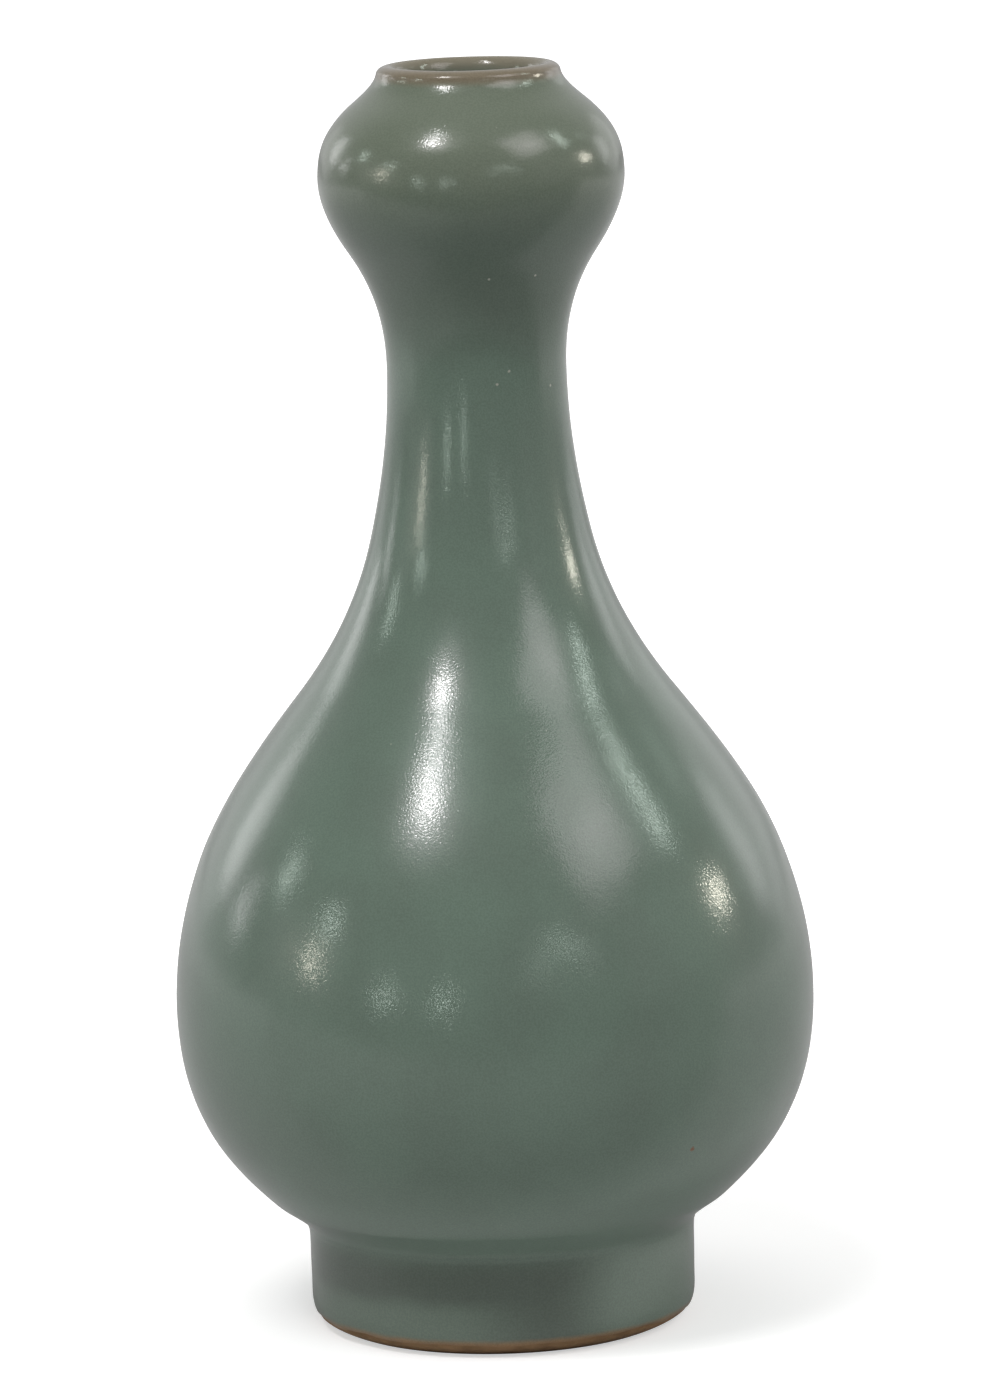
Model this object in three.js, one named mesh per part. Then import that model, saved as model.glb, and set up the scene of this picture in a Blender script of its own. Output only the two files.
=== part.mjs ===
// A garlic-head vase in glazed stoneware, in millimetres, +Z up, standing on the plane z = 0.
// It is thrown in five sections, which are luted together with slip at four flat seams:
// foot ring, lower bowl, shoulder, neck and garlic head. Everything is turned about the Z axis.
import * as THREE from "three";

const FACETS_ROUND = 60;

// The radii that the outline's levels are set out from.
const FOOT_RADIUS = 42.8;
const BELLY_RADIUS = 70.8;
const NECK_RADIUS = 19.75;
const HEAD_RADIUS = 33.7;
const LIP_RADIUS = 20.4;

// The outer outline, from the foot up. Each level stands a rise above the one before it and has the
// radius there, the slope (millimetres outwards for each millimetre up) and the thickness of the wall.
const FOOT_EDGE = { rise: 0, radius: FOOT_RADIUS - 2.8, slope: 0.42, wall: 5.2 };
const FOOT_SWELL = { rise: 9, radius: FOOT_RADIUS, slope: 0, wall: 6.6 };
const FOOT_HIGH = { rise: 8.5, radius: FOOT_RADIUS, slope: 0, wall: 6.8 };
const CREASE = { rise: 4.5, radius: FOOT_RADIUS + 0.45, slope: 0.2, wall: 8.6 };
const BELLY_ROOT = { rise: 8, radius: BELLY_RADIUS - 18.7, slope: 1.08, wall: 6.0 };
const BELLY_LOW = { rise: 15, radius: BELLY_RADIUS - 6.5, slope: 0.55, wall: 5.6 };
const BELLY_WIDEST = { rise: 28, radius: BELLY_RADIUS, slope: 0, wall: 5.2 };
const BELLY_HIGH = { rise: 33, radius: BELLY_RADIUS - 6.6, slope: -0.39, wall: 5.0 };
const SHOULDER_TURN = { rise: 35, radius: BELLY_RADIUS - 28.8, slope: -0.79, wall: 4.8 };
const NECK_ROOT = { rise: 35, radius: NECK_RADIUS + 4.75, slope: -0.24, wall: 4.6 };
const NECK_NARROWEST = { rise: 37.5, radius: NECK_RADIUS, slope: 0, wall: 4.2 };
const HEAD_TURN = { rise: 25.5, radius: HEAD_RADIUS - 6.4, slope: 0.68, wall: 4.2 };
const HEAD_WIDEST = { rise: 17.5, radius: HEAD_RADIUS, slope: -0.05, wall: 4.0 };
const HEAD_HIGH = { rise: 9.5, radius: HEAD_RADIUS - 2.7, slope: -0.65, wall: 3.8 };
const HEAD_TOP = { rise: 6, radius: LIP_RADIUS + 5.15, slope: -1.21, wall: 4.4 };
const LIP_BASE = { rise: 6, radius: LIP_RADIUS, slope: -0.27, wall: 5.0 };

const LEVELS = [
  FOOT_EDGE, FOOT_SWELL, FOOT_HIGH, CREASE, BELLY_ROOT, BELLY_LOW, BELLY_WIDEST, BELLY_HIGH,
  SHOULDER_TURN, NECK_ROOT, NECK_NARROWEST, HEAD_TURN, HEAD_WIDEST, HEAD_HIGH, HEAD_TOP, LIP_BASE,
];

const FOOT_BEVEL = 2.3; // the bare edge is pared in by this much where it meets the table
const FOOT_BEVEL_HEIGHT = 2.2;
const FOOT_INNER_TAPER = 1.0; // the recess opens out by this much towards the table
const FLOOR_THICKNESS = 6.2;
const FLOOR_CORNER = 8; // width of the round corner between the floor and the wall
const FLOOR_CORNER_RISE = 2.4;
const LIP_CROWN = 2; // height of the half-round crest on the rim
const SLIP_THICKNESS = 0.8;
const SLIP_PROUD = 0.9; // the slip squeezed out of a seam stands this far inside the wall
const HEAD_SEAM_RISE = 12.5; // the head is joined this far above the narrowest part of the neck

// Height of each level above the table.
function heightOf(level) {
  let height = 0;
  for (const each of LEVELS) {
    height += each.rise;
    if (each === level) return height;
  }
  throw new Error("that level isn't in the outline");
}

// The two levels that a height lies between, and how far it is from the first to the second.
function spanAt(height) {
  let below = LEVELS[0];
  let base = heightOf(below);
  for (const above of LEVELS.slice(1)) {
    const top = base + above.rise;
    if (height <= top || above === LEVELS.at(-1)) {
      return { below, above, length: above.rise, share: (height - base) / above.rise };
    }
    below = above;
    base = top;
  }
}

// Outer radius at a height: a cubic that has the radius and slope of the levels at its two ends.
function outerRadius(height) {
  const { below, above, length, share: t } = spanAt(height);
  return (
    (2 * t ** 3 - 3 * t ** 2 + 1) * below.radius +
    (t ** 3 - 2 * t ** 2 + t) * length * below.slope +
    (3 * t ** 2 - 2 * t ** 3) * above.radius +
    (t ** 3 - t ** 2) * length * above.slope
  );
}

function outerSlope(height) {
  const reach = 0.05;
  return (outerRadius(height + reach) - outerRadius(height - reach)) / (2 * reach);
}

// Inner radius at a height: the wall is measured square to its outer face.
function innerRadius(height) {
  const { below, above, share } = spanAt(height);
  const wall = THREE.MathUtils.lerp(below.wall, above.wall, THREE.MathUtils.smoothstep(share, 0, 1));
  return outerRadius(height) - wall * Math.hypot(1, outerSlope(height));
}

// Points [radius, height] on a wall between two heights, both ends included.
function wallPoints(radiusAt, from, to, rings) {
  const points = [];
  for (let i = 0; i <= rings; i += 1) {
    const height = THREE.MathUtils.lerp(from, to, i / rings);
    points.push([radiusAt(height), height]);
  }
  return points;
}

// Points on a quarter or half of an ellipse, without its first and last point.
function arcPoints(centre, radii, startAngle, endAngle, steps) {
  const points = [];
  for (let i = 1; i < steps; i += 1) {
    const angle = THREE.MathUtils.lerp(startAngle, endAngle, i / steps);
    points.push([centre[0] + radii[0] * Math.cos(angle), centre[1] + radii[1] * Math.sin(angle)]);
  }
  return points;
}

// Turns an outline, listed up the outside and down the inside, into a solid about the Z axis.
function turned(name, outline, material) {
  const closed = outline[0][0] > 0 ? [...outline, outline[0]] : outline;
  const points = closed.map(([radius, height]) => new THREE.Vector2(radius, height));
  const geometry = new THREE.LatheGeometry(points, FACETS_ROUND);
  geometry.rotateX(Math.PI / 2);
  const mesh = new THREE.Mesh(geometry, material);
  mesh.name = name;
  return mesh;
}

// A plain section of wall between two flat seams.
function wallSection(name, from, to, outerRings, innerRings, material) {
  const outside = wallPoints(outerRadius, from, to, outerRings);
  const inside = wallPoints(innerRadius, to, from, innerRings);
  return turned(name, [...outside, ...inside], material);
}

const glaze = new THREE.MeshStandardMaterial({ color: 0x60796a, roughness: 0.28, metalness: 0 });
const footGlaze = new THREE.MeshStandardMaterial({ color: 0x5d7466, roughness: 0.32, metalness: 0 });
const slip = new THREE.MeshStandardMaterial({ color: 0x8a7562, roughness: 0.85, metalness: 0 });

// Each seam is named by the height of its lower face. The slip fills the space above it.
const footSeam = heightOf(CREASE);
const bellySeam = heightOf(BELLY_WIDEST);
const neckSeam = heightOf(NECK_ROOT);
const headSeam = heightOf(NECK_NARROWEST) + HEAD_SEAM_RISE;
const lipBase = heightOf(LIP_BASE);
const bowlUnderside = footSeam + SLIP_THICKNESS;

// The foot ring: a pared, unglazed edge on the table, and a recess that tapers inside it.
function footRing() {
  const contactRadius = outerRadius(FOOT_BEVEL_HEIGHT) - FOOT_BEVEL;
  const recessRadius = innerRadius(footSeam);
  const outside = wallPoints(outerRadius, FOOT_BEVEL_HEIGHT, footSeam, 7);
  const inside = [[recessRadius, footSeam], [recessRadius + FOOT_INNER_TAPER, 0]];
  return turned("foot_ring", [[contactRadius, 0], ...outside, ...inside], footGlaze);
}

// The lower bowl: its floor closes the vase, and its flat underside sits on the foot ring.
function lowerBowl() {
  const floorTop = bowlUnderside + FLOOR_THICKNESS;
  const cornerTop = floorTop + FLOOR_CORNER_RISE;
  const cornerRadius = innerRadius(cornerTop);
  const corner = [cornerRadius - FLOOR_CORNER, cornerTop];
  const floorCorner = arcPoints(corner, [FLOOR_CORNER, FLOOR_CORNER_RISE], 0, -Math.PI / 2, 4);
  return turned(
    "lower_bowl",
    [
      [0, bowlUnderside],
      ...wallPoints(outerRadius, bowlUnderside, bellySeam, 12),
      ...wallPoints(innerRadius, bellySeam, cornerTop, 8),
      ...floorCorner,
      [corner[0], floorTop],
      [0, floorTop],
    ],
    glaze,
  );
}

// The garlic head: a bulb drawn in to a narrow mouth with a half-round rim.
function garlicHead() {
  const bottom = headSeam + SLIP_THICKNESS;
  const mouthOuter = outerRadius(lipBase);
  const mouthInner = innerRadius(lipBase);
  const rimCentre = [(mouthOuter + mouthInner) / 2, lipBase];
  const rimRadii = [(mouthOuter - mouthInner) / 2, LIP_CROWN];
  return turned(
    "garlic_head",
    [
      ...wallPoints(outerRadius, bottom, lipBase, 18),
      ...arcPoints(rimCentre, rimRadii, 0, Math.PI, 6),
      ...wallPoints(innerRadius, lipBase, bottom, 14),
    ],
    glaze,
  );
}

// The slip in a seam: flush outside, and squeezed out into a low bead inside.
function slipSeam(name, seam) {
  const top = seam + SLIP_THICKNESS;
  const beadRadius = innerRadius(seam) - SLIP_PROUD;
  return turned(
    name,
    [[outerRadius(seam), seam], [outerRadius(top), top], [beadRadius, top], [beadRadius, seam]],
    slip,
  );
}

const vase = new THREE.Group();
vase.add(
  footRing(),
  slipSeam("foot_slip_seam", footSeam),
  lowerBowl(),
  slipSeam("belly_slip_seam", bellySeam),
  wallSection("shoulder", bellySeam + SLIP_THICKNESS, neckSeam, 14, 10, glaze),
  slipSeam("neck_slip_seam", neckSeam),
  wallSection("neck", neckSeam + SLIP_THICKNESS, headSeam, 7, 5, glaze),
  slipSeam("head_slip_seam", headSeam),
  garlicHead(),
);

export default vase;
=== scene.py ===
import math

import bpy
from mathutils import Matrix, Vector


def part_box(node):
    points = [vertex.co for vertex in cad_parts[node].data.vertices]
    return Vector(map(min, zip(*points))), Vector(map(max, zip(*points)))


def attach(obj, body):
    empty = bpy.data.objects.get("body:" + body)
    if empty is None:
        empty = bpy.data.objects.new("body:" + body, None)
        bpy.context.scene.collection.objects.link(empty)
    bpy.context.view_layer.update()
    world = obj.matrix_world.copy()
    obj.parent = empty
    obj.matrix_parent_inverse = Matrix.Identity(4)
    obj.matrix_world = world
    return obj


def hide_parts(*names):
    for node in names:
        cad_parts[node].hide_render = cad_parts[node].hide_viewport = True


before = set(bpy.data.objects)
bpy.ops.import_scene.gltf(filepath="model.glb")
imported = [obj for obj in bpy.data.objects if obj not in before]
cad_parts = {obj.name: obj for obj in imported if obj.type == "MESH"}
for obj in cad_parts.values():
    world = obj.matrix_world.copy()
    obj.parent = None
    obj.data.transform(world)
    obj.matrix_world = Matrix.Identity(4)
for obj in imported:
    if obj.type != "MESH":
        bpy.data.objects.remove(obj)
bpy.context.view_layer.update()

# Heights taken from the frame, in metres above the table
FOOT_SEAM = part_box("foot_ring")[1].z
BOWL_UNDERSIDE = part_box("lower_bowl")[0].z
BELLY_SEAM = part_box("lower_bowl")[1].z
NECK_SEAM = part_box("shoulder")[1].z
RIM_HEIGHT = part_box("garlic_head")[1].z
BELLY_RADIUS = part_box("lower_bowl")[1].x
FOOT_RADIUS = 0.0428

# The outer outline, from the foot up: height, radius, slope outwards for each metre up, and wall
FOOT_CONTACT = (0.0, FOOT_RADIUS - 0.0058, 2.7, 0.0052)
FOOT_EDGE = (0.0036, FOOT_RADIUS - 0.0006, 0.35, 0.0052)
FOOT_SWELL = (0.0085, FOOT_RADIUS - 0.0001, 0.0, 0.0066)
FOOT_HIGH = (0.0165, FOOT_RADIUS, 0.0, 0.0068)
CREASE = (FOOT_SEAM, FOOT_RADIUS + 0.00025, 0.15, 0.0086)
BELLY_ROOT = (FOOT_SEAM + 0.008, BELLY_RADIUS - 0.0188, 1.08, 0.006)
BELLY_LOW = (BELLY_SEAM - 0.028, BELLY_RADIUS - 0.0064, 0.55, 0.0056)
BELLY_WIDEST = (BELLY_SEAM, BELLY_RADIUS, 0.0, 0.0052)
BELLY_HIGH = (BELLY_SEAM + 0.033, BELLY_RADIUS - 0.0065, -0.39, 0.005)
SHOULDER_TURN = (NECK_SEAM - 0.035, 0.042, -0.79, 0.0048)
NECK_ROOT = (NECK_SEAM, 0.02455, -0.24, 0.0046)
NECK_NARROWEST = (NECK_SEAM + 0.0375, 0.0198, 0.0, 0.0042)
HEAD_TURN = (RIM_HEIGHT - 0.041, 0.0273, 0.68, 0.0042)
HEAD_WIDEST = (RIM_HEIGHT - 0.0235, 0.0337, -0.05, 0.004)
HEAD_HIGH = (RIM_HEIGHT - 0.014, 0.031, -0.65, 0.0038)
HEAD_TOP = (RIM_HEIGHT - 0.008, 0.02555, -1.21, 0.0044)
LIP_BASE = (RIM_HEIGHT - 0.002, 0.0203, -0.27, 0.005)
LEVELS = [
    FOOT_CONTACT, FOOT_EDGE, FOOT_SWELL, FOOT_HIGH, CREASE, BELLY_ROOT, BELLY_LOW, BELLY_WIDEST,
    BELLY_HIGH, SHOULDER_TURN, NECK_ROOT, NECK_NARROWEST, HEAD_TURN, HEAD_WIDEST, HEAD_HIGH,
    HEAD_TOP, LIP_BASE,
]

# Mouth, foot, floor and glaze thickness
RIM_CREST_RADIUS = 0.0176
MOUTH_RADIUS = 0.015
MOUTH_DEPTH = 0.0046
COLLAR_FLARE = 350.0
GLAZE_LINE = 0.003
GLAZE_COAT = 0.00045
GLAZE_BEAD = 0.0003
RECESS_TAPER = 0.001
RECESS_GLAZE_END = 0.0016
RECESS_CORNER = 0.003
FLOOR_THICKNESS = 0.0062
FLOOR_CORNER = (0.008, 0.0024)
RECESS_EDGE_BREAK = 0.0004
CEILING_COAT = 0.0006
CLAY_BELOW_GLAZE = 0.0008
GLAZE_LINE_WANDER = 0.0014
THROWING_RIDGE = 0.00016
THROWING_PITCH = 0.0062
THROWING_WOBBLE = 0.0002

# How finely the pieces are turned
STEPS_ROUND = 160
COARSE_STEP = 0.002
RING_STEP = 0.00022

# Low rings that the turning tool leaves above the foot: height, how far they stand out, and width
SLIP_BEAD = (0.0224, 0.00014, 0.0004)
TURNED_EDGE = (0.0286, 0.0001, 0.0006)


# Outline

def span_at(height):
    """The two levels that a height lies between, and how far it is from the first to the second."""
    for below, above in zip(LEVELS, LEVELS[1:]):
        if height <= above[0] or above is LEVELS[-1]:
            return below, above, (height - below[0]) / (above[0] - below[0])


def outer_radius(height):
    below, above, t = span_at(height)
    length = above[0] - below[0]
    return (
        (2 * t**3 - 3 * t**2 + 1) * below[1]
        + (t**3 - 2 * t**2 + t) * length * below[2]
        + (3 * t**2 - 2 * t**3) * above[1]
        + (t**3 - t**2) * length * above[2]
    )


def glazed_radius(height):
    """The outer radius with the turned rings on it."""
    rings = sum(
        proud * math.exp(-(((height - ring) / width) ** 2) / 2)
        for ring, proud, width in (SLIP_BEAD, TURNED_EDGE)
    )
    return outer_radius(height) + rings


def clay_radius(height):
    """The outside of the clay under the glaze."""
    return outer_radius(height) - GLAZE_COAT


def inner_radius(height):
    below, above, t = span_at(height)
    eased = t * t * (3 - 2 * t)
    wall = below[3] + (above[3] - below[3]) * eased
    reach = 0.00005
    slope = (outer_radius(height + reach) - outer_radius(height - reach)) / (2 * reach)
    return outer_radius(height) - wall * math.hypot(1, slope)


def ridged_inner_radius(height):
    """The inside of the wall, with the low spiral ridges that fingers leave in throwing."""
    fade = min(1.0, (RIM_HEIGHT - height) / 0.03)
    return inner_radius(height) + THROWING_RIDGE * fade * math.sin(2 * math.pi * height / THROWING_PITCH)


def mouth_radius(height):
    """The inside of the head, drawn in to a rolled collar under the rim."""
    below = max(0.0, RIM_HEIGHT - MOUTH_DEPTH - height)
    return min(ridged_inner_radius(height), MOUTH_RADIUS + COLLAR_FLARE * below**2)


def recess_radius(height):
    """The inner wall of the foot ring, which opens out towards the table."""
    return inner_radius(FOOT_SEAM) + RECESS_TAPER * (1 - height / FOOT_SEAM)


def recess_coat_radius(height):
    """The face of the glaze on the foot ring's inner wall."""
    return recess_radius(height) - GLAZE_COAT


def wall_points(radius_at, start, end, step):
    count = max(1, round(abs(end - start) / step))
    heights = [start + (end - start) * i / count for i in range(count + 1)]
    return [(radius_at(height), height) for height in heights]


def arc_points(centre, radii, start, end, count):
    angles = [start + (end - start) * i / count for i in range(1, count)]
    return [(centre[0] + radii[0] * math.cos(a), centre[1] + radii[1] * math.sin(a)) for a in angles]


# Modelling

def draw_outline(name, points):
    """Draws a line of edges in the XZ plane, one vertex extruded after another."""
    bpy.ops.object.select_all(action="DESELECT")
    bpy.ops.mesh.primitive_plane_add(size=0.001, location=(0, 0, 0))
    piece = bpy.context.active_object
    piece.name = piece.data.name = name
    bpy.ops.object.mode_set(mode="EDIT")
    bpy.ops.mesh.select_all(action="SELECT")
    bpy.ops.mesh.merge(type="CENTER")
    bpy.ops.transform.translate(value=(points[0][0], 0, points[0][1]))
    for (radius, height), (next_radius, next_height) in zip(points, points[1:]):
        move = (next_radius - radius, 0, next_height - height)
        bpy.ops.mesh.extrude_region_move(TRANSFORM_OT_translate={"value": move})
    return piece


def turn_on_wheel(piece):
    """Spins the outline round the vase's axis, closes its seam and poles, and smooths it."""
    bpy.ops.mesh.select_all(action="SELECT")
    bpy.ops.mesh.spin(steps=STEPS_ROUND, angle=2 * math.pi, center=(0, 0, 0), axis=(0, 0, 1))
    bpy.ops.mesh.select_all(action="SELECT")
    bpy.ops.mesh.remove_doubles(threshold=0.000002)
    bpy.ops.mesh.normals_make_consistent(inside=False)
    bpy.ops.object.mode_set(mode="OBJECT")
    bpy.ops.object.shade_smooth_by_angle(angle=math.radians(40))
    return piece


def share_above_foot(place):
    return min(1.0, max(0.0, (place.z - 0.03) / 0.02))


def share_near_glaze_line(place):
    return max(0.0, 1 - abs(place.z - GLAZE_LINE) / 0.004)


def weigh(piece, name, weight_at):
    """A vertex group whose weights are worked out from each vertex's place."""
    group = piece.vertex_groups.new(name=name)
    for vertex in piece.data.vertices:
        group.add([vertex.index], weight_at(vertex.co), "REPLACE")
    return group.name


def displace(piece, name, size, strength, direction, level, group):
    """Pushes the surface about by soft clouds of the given size, and applies it."""
    clouds = bpy.data.textures.new(name, "CLOUDS")
    clouds.noise_scale = size
    modifier = piece.modifiers.new(name, "DISPLACE")
    modifier.texture = clouds
    modifier.texture_coords = "LOCAL"
    modifier.direction = direction
    modifier.strength = strength
    modifier.mid_level = level
    modifier.vertex_group = group
    bpy.context.view_layer.objects.active = piece
    bpy.ops.object.modifier_apply(modifier=modifier.name)


def make_glazed_body():
    """Bowl, shoulder, neck and head under one coat of glaze, which ends above the foot's edge."""
    floor_top = BOWL_UNDERSIDE + FLOOR_THICKNESS
    corner_top = floor_top + FLOOR_CORNER[1]
    corner = (inner_radius(corner_top) - FLOOR_CORNER[0], corner_top)
    lip = (RIM_CREST_RADIUS, LIP_BASE[0])
    lip_reach = (outer_radius(LIP_BASE[0]) - RIM_CREST_RADIUS, RIM_HEIGHT - LIP_BASE[0])
    mouth = (RIM_CREST_RADIUS, RIM_HEIGHT - MOUTH_DEPTH)
    mouth_reach = (RIM_CREST_RADIUS - MOUTH_RADIUS, MOUTH_DEPTH)
    bead_height = GLAZE_LINE + GLAZE_BEAD
    bead = ((clay_radius(GLAZE_LINE) + outer_radius(bead_height)) / 2, bead_height)
    rings_end = BELLY_ROOT[0] + 0.0015
    outline = [(0, BOWL_UNDERSIDE)]
    outline += [(inner_radius(FOOT_SEAM) + 0.002, BOWL_UNDERSIDE)]
    outline += [(clay_radius(FOOT_SEAM), FOOT_SEAM)]
    outline += wall_points(clay_radius, FOOT_SEAM, bead[1], COARSE_STEP)[1:]
    outline += arc_points(bead, (GLAZE_COAT / 2, GLAZE_BEAD), -math.pi, 0, 5)
    outline += wall_points(outer_radius, bead[1], FOOT_HIGH[0], 0.0007)
    outline += wall_points(glazed_radius, FOOT_HIGH[0], rings_end, RING_STEP)[1:]
    outline += wall_points(outer_radius, rings_end, HEAD_TURN[0], 0.0016)[1:]
    outline += wall_points(outer_radius, HEAD_TURN[0], HEAD_TOP[0], 0.001)[1:]
    outline += wall_points(outer_radius, HEAD_TOP[0], LIP_BASE[0], 0.0005)[1:]
    outline += arc_points(lip, lip_reach, 0, math.pi / 2, 9)
    outline += [(RIM_CREST_RADIUS, RIM_HEIGHT)]
    outline += arc_points(mouth, mouth_reach, math.pi / 2, math.pi, 14)
    outline += wall_points(mouth_radius, mouth[1], HEAD_HIGH[0], 0.0006)
    outline += wall_points(mouth_radius, HEAD_HIGH[0], corner_top, 0.0022)[1:]
    outline += arc_points(corner, FLOOR_CORNER, 0, -math.pi / 2, 6)
    outline += [(corner[0], floor_top), (corner[0] / 2, floor_top), (0, floor_top)]
    piece = turn_on_wheel(draw_outline("glazed_body", outline))
    upper = weigh(piece, "above the foot", share_above_foot)
    displace(piece, "throwing wobble", 0.024, THROWING_WOBBLE, "NORMAL", 1.0, upper)
    edge = weigh(piece, "glaze edge", share_near_glaze_line)
    displace(piece, "glaze line wander", 0.011, GLAZE_LINE_WANDER, "Z", 0.5, edge)
    return piece


def make_foot_ring():
    """The turned foot ring in bare clay. The glaze covers its outside above the glaze line."""
    contact_radius = outer_radius(0)
    outline = wall_points(outer_radius, 0, GLAZE_LINE - CLAY_BELOW_GLAZE, 0.0003)
    outline += wall_points(clay_radius, GLAZE_LINE, FOOT_SEAM, 0.001)
    outline += wall_points(recess_radius, FOOT_SEAM, 0.0005, COARSE_STEP)
    outline += [(recess_radius(0.0) + RECESS_EDGE_BREAK, 0.0), (contact_radius, 0.0)]
    return turn_on_wheel(draw_outline("foot_ring_clay", outline))


def make_recess_glaze():
    """The glaze inside the foot ring: a thin coat under the bowl and down the ring's inner wall."""
    ceiling = BOWL_UNDERSIDE - CEILING_COAT
    bend = (recess_coat_radius(ceiling) - RECESS_CORNER, ceiling - RECESS_CORNER)
    outline = [(0, BOWL_UNDERSIDE), (recess_radius(FOOT_SEAM), BOWL_UNDERSIDE)]
    outline += wall_points(recess_radius, FOOT_SEAM, RECESS_GLAZE_END, COARSE_STEP)
    outline += [(recess_radius(RECESS_GLAZE_END) - GLAZE_COAT * 0.7, RECESS_GLAZE_END)]
    outline += wall_points(recess_coat_radius, RECESS_GLAZE_END + 0.0004, bend[1], COARSE_STEP)
    outline += arc_points(bend, (RECESS_CORNER, RECESS_CORNER), 0, math.pi / 2, 6)
    outline += [(bend[0], ceiling), (bend[0] / 2, ceiling - 0.0002), (0, ceiling - 0.0003)]
    return turn_on_wheel(draw_outline("recess_glaze", outline))


# Materials

def colour(red, green, blue):
    """A screen colour, 0 to 255, as the linear colour that a shader takes."""
    linear = [
        c / 255 / 12.92 if c / 255 <= 0.04045 else ((c / 255 + 0.055) / 1.055) ** 2.4
        for c in (red, green, blue)
    ]
    return (*linear, 1.0)


DEEP_CELADON = colour(94, 109, 98)
PALE_CELADON = colour(98, 115, 103)
# darker glaze tone: painted shade on the underside of the head's bulb
UNDER_HEAD_SHADE_CELADON = colour(87, 100, 89)
HEAD_CELADON = colour(102, 111, 97)
# greyer foot glaze, darkened as painted shade under the belly's overhang
SHADED_FOOT_CELADON = colour(88, 98, 89)
# paler tone: painted light on the right side of the foot
LIT_FOOT_CELADON = colour(112, 126, 115)
# paler tone: painted reflection of the pale table and its bounce light on the lower left of the foot
LOW_FOOT_REFLECTION_CELADON = colour(103, 116, 105)
# paler tone: painted bounce light across the crease above the foot
CREASE_LIGHT_CELADON = colour(102, 118, 107)
# brownish inner glaze, darkened as painted shade inside the mouth and under the foot
SHADED_INNER_CELADON = colour(101, 98, 84)
THIN_GLAZE_BROWN = colour(117, 108, 91)
THIN_GLAZE_INSIDE = colour(125, 120, 105)
FOOT_CLAY_BROWN = colour(142, 111, 78)
FOOT_CLAY_DARK = colour(122, 94, 64)
# dark clay tone: painted shadow line where the foot meets the table
CONTACT_SHADOW_CLAY = colour(92, 68, 46)
RUST = colour(112, 74, 48)
PINHOLE_PALE = colour(150, 152, 142)

# Where one tone of the glaze gives way to another: from, to, and how far the edge wanders
UNDER_HEAD_SHADE_EDGE = {"Low": 0.212, "High": 0.230, "Wander": 0.006}
HEAD_EDGE = {"Low": 0.242, "High": 0.262, "Wander": 0.005}
LOW_REFLECTION_EDGE = {"Low": 0.0095, "High": 0.0145, "Wander": 0.003}
FOOT_SHADE_TOP_EDGE = {"Low": 0.017, "High": 0.028, "Wander": 0.002}
CREASE_LIGHT_START = {"Low": 0.020, "High": 0.027, "Wander": 0.001}
CREASE_LIGHT_END = {"Low": 0.030, "High": 0.039, "Wander": 0.002}
LIP_EDGE = {"Low": 0.2762, "High": 0.2784, "Wander": 0.0008}
LIP_INSIDE_EDGE = {"Low": 0.2755, "High": 0.2795, "Wander": 0.0015}
HEM_EDGE = {"Low": 0.003, "High": 0.0047, "Wander": 0.001}
RECESS_HEM_EDGE = {"Low": 0.0018, "High": 0.0042, "Wander": 0.0016}
# the painted shadow line at the foot's lowest edge
CONTACT_SHADOW_EDGE = {"Low": 0.0001, "High": 0.0007, "Wander": 0.0004}

# Marks in the glaze, and patches of painted light and painted reflection on the foot, by their place on
# the outside
LIT_FOOT_PATCH = (0.0391, -0.0174, 0.012)
LIT_FOOT_PATCH_RADIUS = 0.038
# where the painted reflection of the table lies on the lower left of the foot
LOW_REFLECTION_PATCH = (-0.0328, -0.0275, 0.006)
LOW_REFLECTION_PATCH_RADIUS = 0.045
IRON_SPOT = (0.0415, -0.0505, 0.0479)
IRON_SPOT_RADIUS = 0.0008
PINHOLE_RADIUS = 0.00036
PINHOLES = [
    (0.0032, -0.0247, 0.2353),
    (0.0132, -0.0212, 0.2355),
    (0.0043, -0.0192, 0.2117),
    (0.0070, -0.0184, 0.2144),
    (0.0159, -0.0116, 0.2102),
    (0.0492, -0.0503, 0.0713),
]


def add(tree, kind, **settings):
    node = tree.nodes.new(kind)
    for name, value in settings.items():
        setattr(node, name, value)
    return node


def feed(tree, socket, value):
    """Sets a socket to a value, or links it if the value is another node's output."""
    if isinstance(value, bpy.types.NodeSocket):
        tree.links.new(value, socket)
    else:
        socket.default_value = value


def calculate(tree, operation, first, second):
    node = add(tree, "ShaderNodeMath", operation=operation)
    feed(tree, node.inputs[0], first)
    feed(tree, node.inputs[1], second)
    return node.outputs[0]


def ramp(tree, value, low, high, to_low=0.0, to_high=1.0):
    node = add(tree, "ShaderNodeMapRange", interpolation_type="SMOOTHSTEP")
    for name, given in zip(("Value", "From Min", "From Max", "To Min", "To Max"),
                           (value, low, high, to_low, to_high)):
        feed(tree, node.inputs[name], given)
    return node.outputs["Result"]


def blend_colours(tree, share, first, second):
    node = add(tree, "ShaderNodeMix", data_type="RGBA")
    feed(tree, node.inputs[0], share)
    feed(tree, node.inputs[6], first)
    feed(tree, node.inputs[7], second)
    return node.outputs[2]


def scale_colour(tree, tone, factor):
    node = add(tree, "ShaderNodeVectorMath", operation="SCALE")
    feed(tree, node.inputs[0], tone)
    feed(tree, node.inputs["Scale"], factor)
    return node.outputs[0]


def noise(tree, place, scale, detail=2.0, roughness=0.5):
    node = add(tree, "ShaderNodeTexNoise")
    feed(tree, node.inputs["Vector"], place)
    node.inputs["Scale"].default_value = scale
    node.inputs["Detail"].default_value = detail
    node.inputs["Roughness"].default_value = roughness
    return node.outputs["Fac"]


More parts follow.
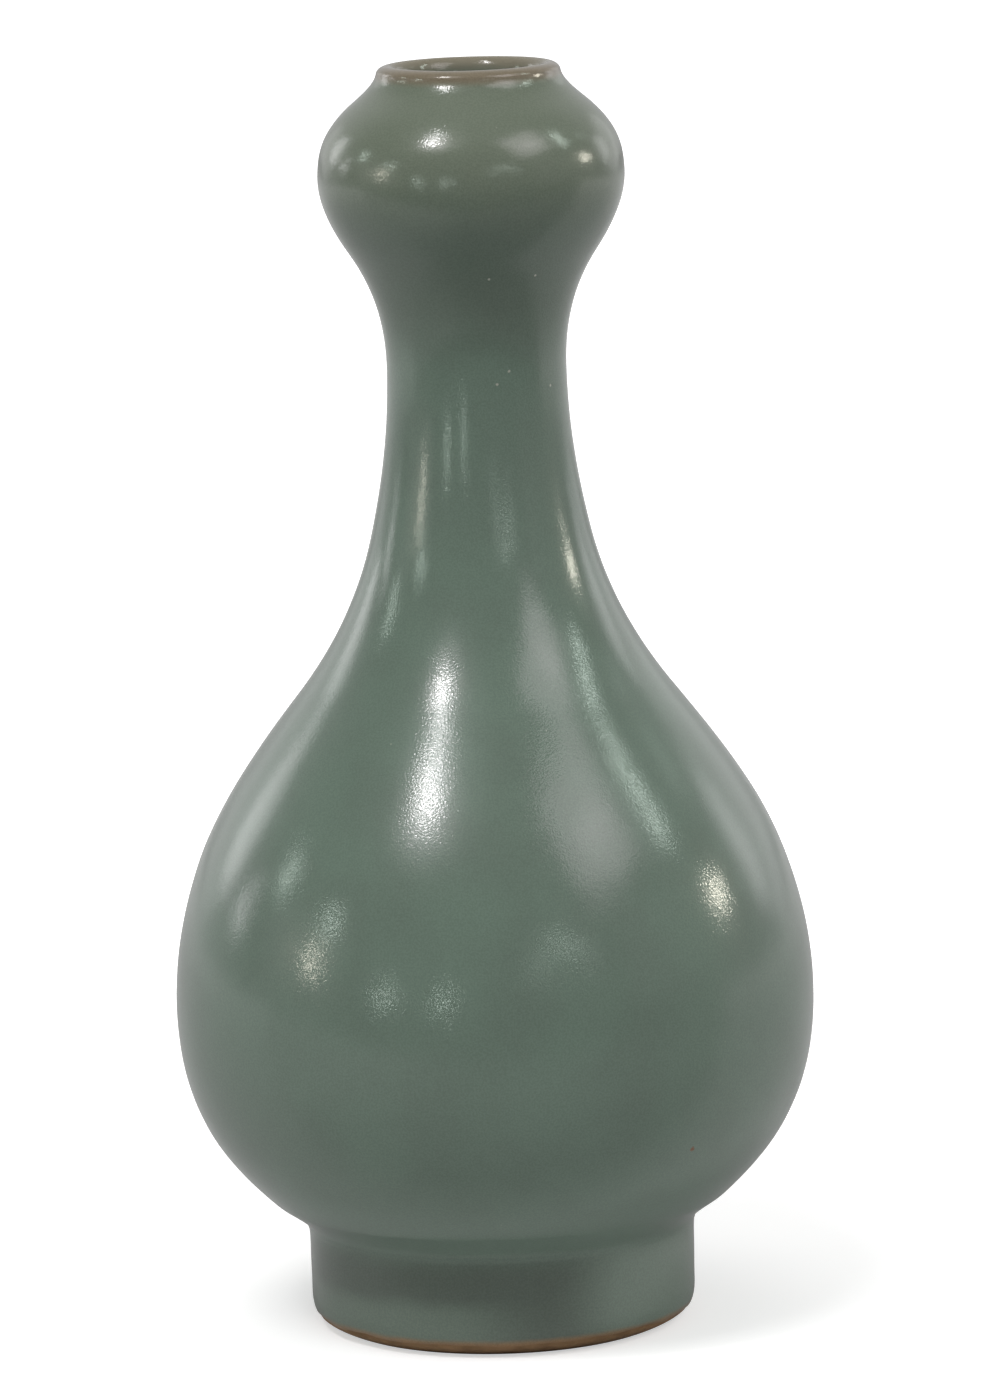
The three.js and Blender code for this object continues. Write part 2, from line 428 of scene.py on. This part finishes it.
def new_group(name, inputs, outputs):
    group = bpy.data.node_groups.new(name, "ShaderNodeTree")
    for label, kind, value in inputs:
        socket = group.interface.new_socket(label, in_out="INPUT", socket_type=kind)
        socket.default_value = value
    for label, kind in outputs:
        group.interface.new_socket(label, in_out="OUTPUT", socket_type=kind)
    return group, add(group, "NodeGroupInput"), add(group, "NodeGroupOutput")


def make_height_band():
    """A mask that rises from 0 to 1 between two heights, with a wandering edge."""
    group, given, result = new_group(
        "height band",
        [("Low", "NodeSocketFloat", 0.0), ("High", "NodeSocketFloat", 1.0),
         ("Wander", "NodeSocketFloat", 0.0)],
        [("Mask", "NodeSocketFloat")],
    )
    place = add(group, "ShaderNodeTexCoord").outputs["Object"]
    split = add(group, "ShaderNodeSeparateXYZ")
    feed(group, split.inputs[0], place)
    wave = calculate(group, "SUBTRACT", noise(group, place, 110.0, 3.0), 0.5)
    shifted = calculate(group, "ADD", split.outputs["Z"],
                        calculate(group, "MULTIPLY", wave, given.outputs["Wander"]))
    feed(group, result.inputs["Mask"],
         ramp(group, shifted, given.outputs["Low"], given.outputs["High"]))
    return group


def make_spot():
    """A round mask at a place, with a ragged edge where asked."""
    group, given, result = new_group(
        "spot",
        [("Place", "NodeSocketVector", (0.0, 0.0, 0.0)), ("Radius", "NodeSocketFloat", 0.0004),
         ("Ragged", "NodeSocketFloat", 1.0)],
        [("Mask", "NodeSocketFloat")],
    )
    place = add(group, "ShaderNodeTexCoord").outputs["Object"]
    away = add(group, "ShaderNodeVectorMath", operation="DISTANCE")
    feed(group, away.inputs[0], place)
    feed(group, away.inputs[1], given.outputs["Place"])
    stray = calculate(group, "SUBTRACT", noise(group, place, 2600.0), 0.5)
    stretch = calculate(group, "ADD", 1.0, calculate(group, "MULTIPLY", stray, given.outputs["Ragged"]))
    ragged = calculate(group, "MULTIPLY", away.outputs["Value"], stretch)
    inner = calculate(group, "MULTIPLY", given.outputs["Radius"], 0.55)
    feed(group, result.inputs["Mask"], ramp(group, ragged, inner, given.outputs["Radius"], 1.0, 0.0))
    return group


def make_glaze_grain():
    """Cloudy tone, fine grain and scattered pinholes of a satin stoneware glaze."""
    group, given, result = new_group(
        "glaze grain",
        [("Grain", "NodeSocketFloat", 1.0), ("Ripple", "NodeSocketFloat", 1.0)],
        [("Cloud", "NodeSocketFloat"), ("Speckle", "NodeSocketFloat"), ("Height", "NodeSocketFloat"),
         ("Pinholes", "NodeSocketFloat")],
    )
    place = add(group, "ShaderNodeTexCoord").outputs["Object"]
    cloud = noise(group, place, 45.0, 4.0, 0.55)
    fine = noise(group, place, 2400.0, 1.0)
    ripple = noise(group, place, 260.0, 2.0)
    speckle = noise(group, place, 2500.0, 1.0)
    height = calculate(group, "ADD",
                       calculate(group, "MULTIPLY", fine, given.outputs["Grain"]),
                       calculate(group, "MULTIPLY", ripple, given.outputs["Ripple"]))
    cells = add(group, "ShaderNodeTexVoronoi", feature="F1")
    feed(group, cells.inputs["Vector"], place)
    cells.inputs["Scale"].default_value = 150.0
    split = add(group, "ShaderNodeSeparateColor")
    feed(group, split.inputs[0], cells.outputs["Color"])
    chosen = ramp(group, split.outputs[0], 0.8, 0.82)
    dot = ramp(group, cells.outputs["Distance"], 0.02, 0.045, 1.0, 0.0)
    feed(group, result.inputs["Cloud"], ramp(group, cloud, 0.3, 0.7))
    feed(group, result.inputs["Speckle"], ramp(group, speckle, 0.25, 0.75))
    feed(group, result.inputs["Height"], height)
    feed(group, result.inputs["Pinholes"], calculate(group, "MULTIPLY", dot, chosen))
    return group


HEIGHT_BAND = make_height_band()
SPOT = make_spot()
GLAZE_GRAIN = make_glaze_grain()


def placed(tree, group, **inputs):
    node = add(tree, "ShaderNodeGroup", node_tree=group)
    for name, value in inputs.items():
        feed(tree, node.inputs[name], value)
    return node


def new_material(name):
    material = bpy.data.materials.new(name)
    material.use_nodes = True
    tree = material.node_tree
    return material, tree, tree.nodes["Principled BSDF"]


def roughen(tree, shader, height, distance, strength):
    bump = add(tree, "ShaderNodeBump")
    feed(tree, bump.inputs["Height"], height)
    bump.inputs["Distance"].default_value = distance
    bump.inputs["Strength"].default_value = strength
    feed(tree, shader.inputs["Normal"], bump.outputs["Normal"])


def make_outer_glaze():
    """Tones by height from the foot to the lip, with painted shade under the head and on the foot,
    painted light on the foot and across the crease, then the fine speckle and the single marks.
    """
    material, tree, shader = new_material("celadon glaze")
    grain = placed(tree, GLAZE_GRAIN, Grain=1.25, Ripple=0.8)
    tone = blend_colours(tree, grain.outputs["Cloud"], DEEP_CELADON, PALE_CELADON)
    # painted shade: a darker tone on the underside of the head, where shade falls
    under_head_shade = placed(tree, HEIGHT_BAND, **UNDER_HEAD_SHADE_EDGE)
    tone = blend_colours(tree, under_head_shade.outputs["Mask"], tone, UNDER_HEAD_SHADE_CELADON)
    head = placed(tree, HEIGHT_BAND, **HEAD_EDGE)
    tone = blend_colours(tree, head.outputs["Mask"], tone, HEAD_CELADON)
    # painted light: a soft pale patch on the right of the foot, where light from the right falls
    patch = placed(tree, SPOT, Place=LIT_FOOT_PATCH, Radius=LIT_FOOT_PATCH_RADIUS, Ragged=0.0)
    foot_light_and_shade = blend_colours(tree, patch.outputs["Mask"], SHADED_FOOT_CELADON, LIT_FOOT_CELADON)
    # painted reflection: the lower left of the foot, below a height band, is paler as if it mirrored the
    # table
    low_reflection_patch = placed(tree, SPOT, Place=LOW_REFLECTION_PATCH, Radius=LOW_REFLECTION_PATCH_RADIUS, Ragged=0.0)
    low_reflection_tone = blend_colours(tree, low_reflection_patch.outputs["Mask"], foot_light_and_shade, LOW_FOOT_REFLECTION_CELADON)
    above_low_reflection = placed(tree, HEIGHT_BAND, **LOW_REFLECTION_EDGE)
    foot_light_and_shade = blend_colours(tree, above_low_reflection.outputs["Mask"], low_reflection_tone, foot_light_and_shade)
    # painted shade: below this band the foot takes its darker, shaded tone, with the painted light and
    # reflection patches
    above_foot = placed(tree, HEIGHT_BAND, **FOOT_SHADE_TOP_EDGE)
    tone = blend_colours(tree, above_foot.outputs["Mask"], foot_light_and_shade, tone)
    # painted light: a paler band over the crease between the foot and the belly, lifting its shade
    from_crease_light = placed(tree, HEIGHT_BAND, **CREASE_LIGHT_START)
    past_crease_light = placed(tree, HEIGHT_BAND, **CREASE_LIGHT_END)
    crease_light_band = calculate(tree, "SUBTRACT", from_crease_light.outputs["Mask"], past_crease_light.outputs["Mask"])
    tone = blend_colours(tree, crease_light_band, tone, CREASE_LIGHT_CELADON)
    lip = placed(tree, HEIGHT_BAND, **LIP_EDGE)
    tone = blend_colours(tree, lip.outputs["Mask"], tone, THIN_GLAZE_BROWN)
    hem = placed(tree, HEIGHT_BAND, **HEM_EDGE)
    tone = blend_colours(tree, hem.outputs["Mask"], FOOT_CLAY_BROWN, tone)
    speckle = ramp(tree, grain.outputs["Speckle"], 0.0, 1.0, 0.93, 1.07)
    tone = scale_colour(tree, tone, speckle)
    scattered = calculate(tree, "MULTIPLY", grain.outputs["Pinholes"], 0.45)
    tone = blend_colours(tree, scattered, tone, PINHOLE_PALE)
    for place in PINHOLES:
        spot = placed(tree, SPOT, Place=place, Radius=PINHOLE_RADIUS)
        tone = blend_colours(tree, spot.outputs["Mask"], tone, PINHOLE_PALE)
    rust = placed(tree, SPOT, Place=IRON_SPOT, Radius=IRON_SPOT_RADIUS)
    tone = blend_colours(tree, rust.outputs["Mask"], tone, RUST)
    feed(tree, shader.inputs["Base Color"], tone)
    feed(tree, shader.inputs["Roughness"], ramp(tree, grain.outputs["Speckle"], 0.0, 1.0, 0.04, 0.11))
    shader.inputs["Coat Weight"].default_value = 0.6
    shader.inputs["Coat Roughness"].default_value = 0.31
    roughen(tree, shader, grain.outputs["Height"], 0.00005, 0.6)
    return material


def make_inner_glaze():
    material, tree, shader = new_material("celadon glaze inside")
    grain = placed(tree, GLAZE_GRAIN, Grain=0.5, Ripple=1.2)
    # below the crest's thin glaze the inside takes a darker brownish tone, painted shade deeper in the
    # mouth
    tone = blend_colours(tree, grain.outputs["Cloud"], DEEP_CELADON, SHADED_INNER_CELADON)
    lip = placed(tree, HEIGHT_BAND, **LIP_INSIDE_EDGE)
    tone = blend_colours(tree, lip.outputs["Mask"], tone, THIN_GLAZE_INSIDE)
    feed(tree, shader.inputs["Base Color"], tone)
    feed(tree, shader.inputs["Roughness"], ramp(tree, grain.outputs["Cloud"], 0.0, 1.0, 0.1, 0.13))
    roughen(tree, shader, grain.outputs["Height"], 0.00006, 0.6)
    return material


def make_recess_finish():
    material, tree, shader = new_material("celadon glaze under the foot")
    grain = placed(tree, GLAZE_GRAIN, Grain=1.2, Ripple=2.0)
    # the darker inner tone here is painted shade under the foot
    tone = blend_colours(tree, grain.outputs["Cloud"], DEEP_CELADON, SHADED_INNER_CELADON)
    hem = placed(tree, HEIGHT_BAND, **RECESS_HEM_EDGE)
    tone = blend_colours(tree, hem.outputs["Mask"], FOOT_CLAY_BROWN, tone)
    feed(tree, shader.inputs["Base Color"], tone)
    feed(tree, shader.inputs["Roughness"], ramp(tree, grain.outputs["Cloud"], 0.0, 1.0, 0.26, 0.36))
    roughen(tree, shader, grain.outputs["Height"], 0.00007, 0.6)
    return material


def make_bare_clay():
    material, tree, shader = new_material("bare foot clay")
    place = add(tree, "ShaderNodeTexCoord").outputs["Object"]
    patch = ramp(tree, noise(tree, place, 160.0, 4.0, 0.6), 0.35, 0.65)
    tone = blend_colours(tree, patch, FOOT_CLAY_DARK, FOOT_CLAY_BROWN)
    # painted shadow: the lowest fraction of a millimetre of clay turns dark where the foot meets the
    # table
    above_contact_shadow = placed(tree, HEIGHT_BAND, **CONTACT_SHADOW_EDGE)
    tone = blend_colours(tree, above_contact_shadow.outputs["Mask"], CONTACT_SHADOW_CLAY, tone)
    feed(tree, shader.inputs["Base Color"], tone)
    shader.inputs["Roughness"].default_value = 0.82
    roughen(tree, shader, noise(tree, place, 2200.0, 4.0, 0.7), 0.00012, 0.8)
    return material


def put_inside_faces(piece, material):
    """Gives the faces past the rim's crest and above the floor the glaze of the inside."""
    piece.data.materials.append(material)
    for polygon in piece.data.polygons:
        radius, height = math.hypot(polygon.center.x, polygon.center.y), polygon.center.z
        if height > LIP_BASE[0]:
            inside = radius < RIM_CREST_RADIUS
        else:
            inside = height > BOWL_UNDERSIDE + 0.004 and radius < outer_radius(height) - 0.0015
        if inside:
            polygon.material_index = 1


# Stage

LAMP_DISTANCE = 3.0
LAMP_AIM = Vector((0, 0, 0.14))
ROOM_LIGHT = 0.3
ROOM_IN_FRONT = 0.03
ROOM_BEHIND = 0.5
FLOOR_PALE = 0.72
TABLE_EDGE = -0.41
SHEEN_PAST_TABLE = 0.03
SHEEN_OF_TABLE = 0.18
SHEEN_ON_LEFT = 0.36
SHEEN_NEAR = 0.45
SHEEN_FAR_BEHIND = 0.85


def make_floor():
    """A pale floor that keeps the vase's shadow and fades to white away from it. Reflections find it
    dim in front, dark past the table's edge, and pale behind."""
    bpy.ops.object.select_all(action="DESELECT")
    bpy.ops.mesh.primitive_plane_add(size=1, location=(0, 3.0, 0))
    floor = bpy.context.active_object
    floor.name = "floor"
    floor.scale = (7.0, 7.0, 1.0)
    material, tree, shader = new_material("pale floor")
    place = add(tree, "ShaderNodeNewGeometry").outputs["Position"]
    split = add(tree, "ShaderNodeSeparateXYZ")
    feed(tree, split.inputs[0], place)
    distance = add(tree, "ShaderNodeVectorMath", operation="LENGTH")
    feed(tree, distance.inputs[0], place)
    table = ramp(tree, split.outputs["X"], -0.25, -0.02, SHEEN_ON_LEFT, SHEEN_OF_TABLE)
    in_front = ramp(tree, split.outputs["Y"], TABLE_EDGE - 0.01, TABLE_EDGE + 0.01,
                    SHEEN_PAST_TABLE, table)
    behind = ramp(tree, distance.outputs["Value"], 0.3, 1.8, SHEEN_NEAR, SHEEN_FAR_BEHIND)
    sheen = ramp(tree, split.outputs["Y"], -0.09, -0.035, in_front, behind)
    path = add(tree, "ShaderNodeLightPath")
    pale = add(tree, "ShaderNodeMix", data_type="FLOAT")
    feed(tree, pale.inputs[0], path.outputs["Is Glossy Ray"])
    pale.inputs[2].default_value = FLOOR_PALE
    feed(tree, pale.inputs[3], sheen)
    feed(tree, shader.inputs["Base Color"], pale.outputs[0])
    shader.inputs["Roughness"].default_value = 1.0
    shader.inputs["Specular IOR Level"].default_value = 0.0
    shader.inputs["Emission Color"].default_value = (1.0, 1.0, 1.0, 1.0)
    lift = ramp(tree, distance.outputs["Value"], 0.15, 0.6, 0.52, 1.0)
    glow = calculate(tree, "MULTIPLY", path.outputs["Is Camera Ray"], lift)
    feed(tree, shader.inputs["Emission Strength"], glow)
    floor.data.materials.append(material)


def make_lamp(name, azimuth, elevation, across, tall, brightness, tint,
              square=False, lean=0.0, in_gloss=True, on_matt=True):
    """An area lamp that faces the vase. Its place, size and lean are angles seen from the vase, in
    degrees, and its brightness is 1 where it looks like lit white paper."""
    turn, rise = math.radians(azimuth), math.radians(elevation)
    out = Vector((math.sin(turn) * math.cos(rise), -math.cos(turn) * math.cos(rise), math.sin(rise)))
    lamp = bpy.data.lights.new(name, "AREA")
    lamp.shape = "RECTANGLE" if square else "ELLIPSE"
    lamp.size = 2 * LAMP_DISTANCE * math.tan(math.radians(across) / 2)
    lamp.size_y = 2 * LAMP_DISTANCE * math.tan(math.radians(tall) / 2)
    face = lamp.size * lamp.size_y * (1 if square else math.pi / 4)
    lamp.energy = brightness * math.pi * face
    lamp.color = tint
    obj = bpy.data.objects.new(name, lamp)
    bpy.context.scene.collection.objects.link(obj)
    obj.location = LAMP_AIM + out * LAMP_DISTANCE
    facing = out.to_track_quat("Z", "Y").to_matrix() @ Matrix.Rotation(math.radians(lean), 3, "Z")
    obj.rotation_euler = facing.to_euler()
    obj.visible_camera = False
    obj.visible_glossy = in_gloss
    obj.visible_diffuse = on_matt


def make_world():
    """White where the camera looks past the vase. Reflections find it pale behind and dim in front."""
    world = bpy.data.worlds.new("studio")
    bpy.context.scene.world = world
    world.use_nodes = True
    tree = world.node_tree
    background = tree.nodes["Background"]
    way = add(tree, "ShaderNodeTexCoord").outputs["Generated"]
    split = add(tree, "ShaderNodeSeparateXYZ")
    feed(tree, split.inputs[0], way)
    room = ramp(tree, split.outputs["Y"], 0.0, 0.8, ROOM_IN_FRONT, ROOM_BEHIND)
    path = add(tree, "ShaderNodeLightPath")
    level = add(tree, "ShaderNodeMix", data_type="FLOAT")
    feed(tree, level.inputs[0], path.outputs["Is Glossy Ray"])
    level.inputs[2].default_value = ROOM_LIGHT
    feed(tree, level.inputs[3], room)
    shown = add(tree, "ShaderNodeMix", data_type="FLOAT")
    feed(tree, shown.inputs[0], path.outputs["Is Camera Ray"])
    feed(tree, shown.inputs[2], level.outputs[0])
    shown.inputs[3].default_value = 1.0
    feed(tree, background.inputs["Strength"], shown.outputs[0])
    background.inputs["Color"].default_value = (1.0, 1.0, 1.0, 1.0)


# The camera, set out from the photograph
CAMERA_PLACE = (0.0, -1.8, 0.4401)
CAMERA_DOWN = math.radians(9.484)
CAMERA_RIGHT = math.radians(0.0953)
CAMERA_ROLL = math.radians(1.67)
CAMERA_LENS = 213.02


def make_camera():
    camera = bpy.data.objects.new("camera", bpy.data.cameras.new("camera"))
    bpy.context.scene.collection.objects.link(camera)
    camera.data.sensor_width = 36.0
    camera.data.lens = CAMERA_LENS
    camera.data.clip_start, camera.data.clip_end = 0.05, 50.0
    camera.matrix_world = (
        Matrix.Translation(CAMERA_PLACE)
        @ Matrix.Rotation(-CAMERA_RIGHT, 4, "Z")
        @ Matrix.Rotation(math.pi / 2 - CAMERA_DOWN, 4, "X")
        @ Matrix.Rotation(-CAMERA_ROLL, 4, "Z")
    )
    bpy.context.scene.camera = camera


# The vase
body = make_glazed_body()
body.data.materials.append(make_outer_glaze())
put_inside_faces(body, make_inner_glaze())
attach(body, "root")
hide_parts("lower_bowl", "belly_slip_seam", "shoulder", "neck_slip_seam", "neck",
            "head_slip_seam", "garlic_head")

foot = make_foot_ring()
foot.data.materials.append(make_bare_clay())
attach(foot, "root")
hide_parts("foot_ring", "foot_slip_seam")

recess = make_recess_glaze()
recess.data.materials.append(make_recess_finish())
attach(recess, "root")

# Light and camera. Each lamp has a name, its azimuth, elevation, width and height in degrees as seen
# from the vase, its brightness and its tint.
make_floor()
make_world()
DAYLIGHT = (1.0, 1.0, 1.0)
ROSE_TINT = (1.0, 0.94, 0.96)
GREEN_TINT = (0.86, 1.0, 0.9)
LAMPLIGHT = (1.0, 0.95, 0.8)
make_lamp("key", -41, 55.3, 5.6, 6, 32.0, DAYLIGHT)
make_lamp("key rim", -41, 55, 11, 11, 9.0, ROSE_TINT)
make_lamp("key top", -46, 65, 5.5, 6.5, 18.0, DAYLIGHT, on_matt=False)
make_lamp("key glow", -38, 53, 20, 21, 1.4, ROSE_TINT, on_matt=False)
make_lamp("front softbox", -28, 58, 20, 20, 11.5, DAYLIGHT, in_gloss=False)
make_lamp("front fill", 25, 8, 60, 22, 0.35, DAYLIGHT, square=True, in_gloss=False)
make_lamp("overhead", 0, 90, 40, 40, 1.4, DAYLIGHT, in_gloss=False)
make_lamp("window", 53.5, 46.5, 27, 26, 2.1, ROSE_TINT, square=True, lean=4)
make_lamp("window foot", 50, 31, 19, 8, 1.1, ROSE_TINT, square=True, lean=14)
make_lamp("window transom", 57, 44.5, 15, 5, 1.8, ROSE_TINT, square=True, lean=6)
make_lamp("window side", 80, 42, 8, 24, 0.5, DAYLIGHT, square=True)
make_lamp("door gap", 89, 39.5, 3.4, 18, 10.0, GREEN_TINT, square=True, lean=-12)
make_lamp("second door gap", 112, 32, 6, 7, 1.0, GREEN_TINT)
make_lamp("right lamp", 98.2, 13.8, 5.6, 5, 26.0, LAMPLIGHT, lean=-15)
make_lamp("right lamp shade", 92, 16, 7, 5, 1.4, LAMPLIGHT)
make_lamp("right wall", 78, 11, 56, 26, 0.2, DAYLIGHT, square=True, on_matt=False)
make_lamp("right backdrop", 123, 14, 14, 22, 1.1, DAYLIGHT)
make_lamp("right sweep", 138, 12, 34, 28, 0.4, DAYLIGHT)
make_lamp("left backdrop", -128.5, 16, 14, 22, 1.8, DAYLIGHT)
make_lamp("left sweep", -142, 10, 28, 24, 0.3, DAYLIGHT)
make_lamp("left shelf lamp", -112, 8, 7, 7, 3.0, DAYLIGHT)
make_lamp("left shelf end", -108, 14, 4, 6, 2.6, DAYLIGHT)
make_lamp("left pane", -93.7, 23, 3.4, 10, 7.5, GREEN_TINT, square=True)
make_lamp("left wall", -77, 9, 36, 18, 0.28, DAYLIGHT, square=True, on_matt=False)
make_lamp("left lamp", -70.3, 9.1, 4.4, 5, 18.0, LAMPLIGHT)
make_lamp("left lamp shade", -80, 9, 9, 5, 0.9, LAMPLIGHT)
make_lamp("left beam", -65.2, 18.8, 6, 1.6, 21.0, GREEN_TINT, square=True, lean=22)
make_lamp("front left lamp", -39.5, 5, 3, 4, 16.0, GREEN_TINT)
make_lamp("front lamp", -18.4, 4, 2.6, 4.5, 14.5, GREEN_TINT)
make_lamp("front right strip", 26, 17.5, 14, 2, 5.6, GREEN_TINT, square=True, lean=-10)
make_lamp("front right pane", 16, 13, 6, 4.5, 2.4, GREEN_TINT)
make_lamp("front right end", 36, 13.5, 5, 3.5, 2.4, GREEN_TINT)
bpy.context.scene.view_settings.view_transform = "Standard"
make_camera()
